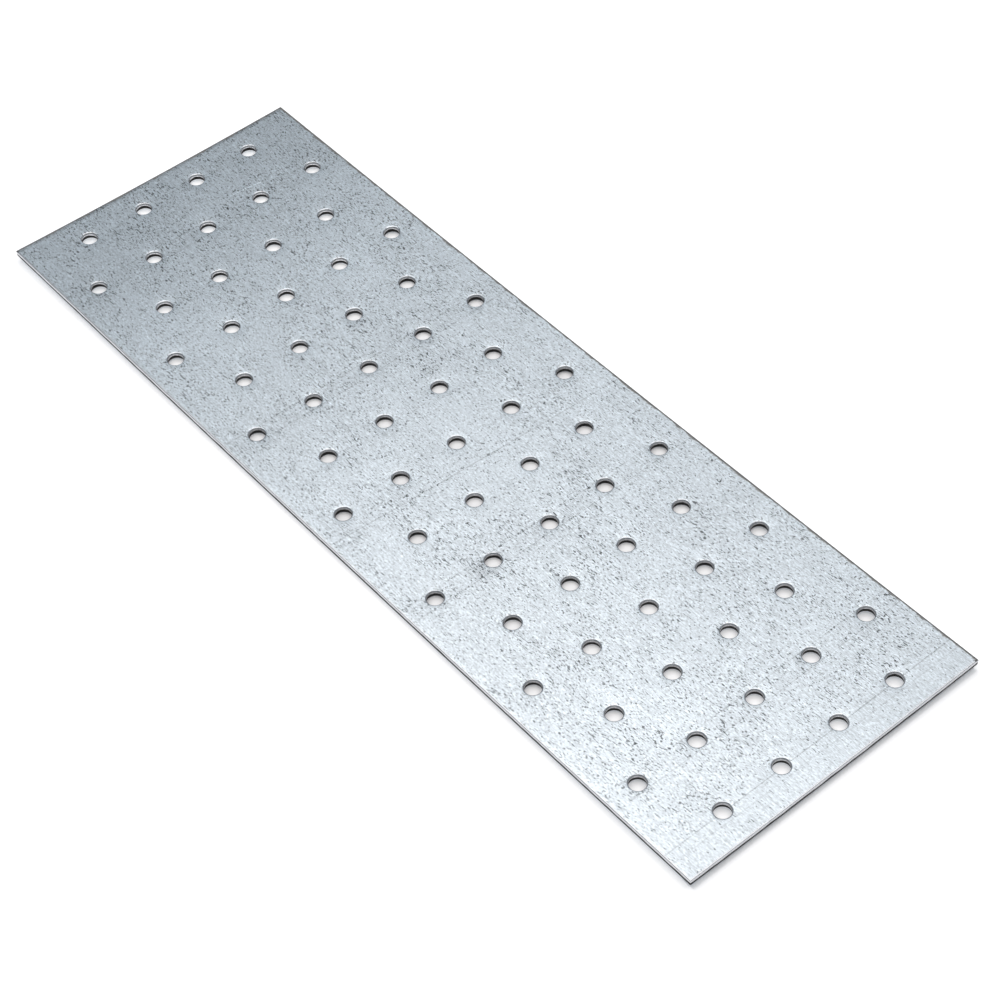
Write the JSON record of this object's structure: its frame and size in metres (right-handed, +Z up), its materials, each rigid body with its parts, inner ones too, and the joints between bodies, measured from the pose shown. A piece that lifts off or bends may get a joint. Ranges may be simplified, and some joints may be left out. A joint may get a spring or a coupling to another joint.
{
  "type": "mending plate",
  "caption": "Flat perforated steel mending plate with a staggered grid of round nail holes, for joining or repairing timbers whose faces are flush.",
  "frame": {"origin": "centre of the underside", "axes": "+X along the plate, +Y across it, +Z up through its thickness, out of the face that the holes were punched from"},
  "size_m": [0.3, 0.1, 0.002],
  "materials": {
    "galvanised_steel": "hot-dip galvanised sheet, cool grey with fine dark flecks and faint rolling streaks"
  },
  "bodies": {
    "root": {"mending_plate": "galvanised_steel"}
  },
  "joints": []
}
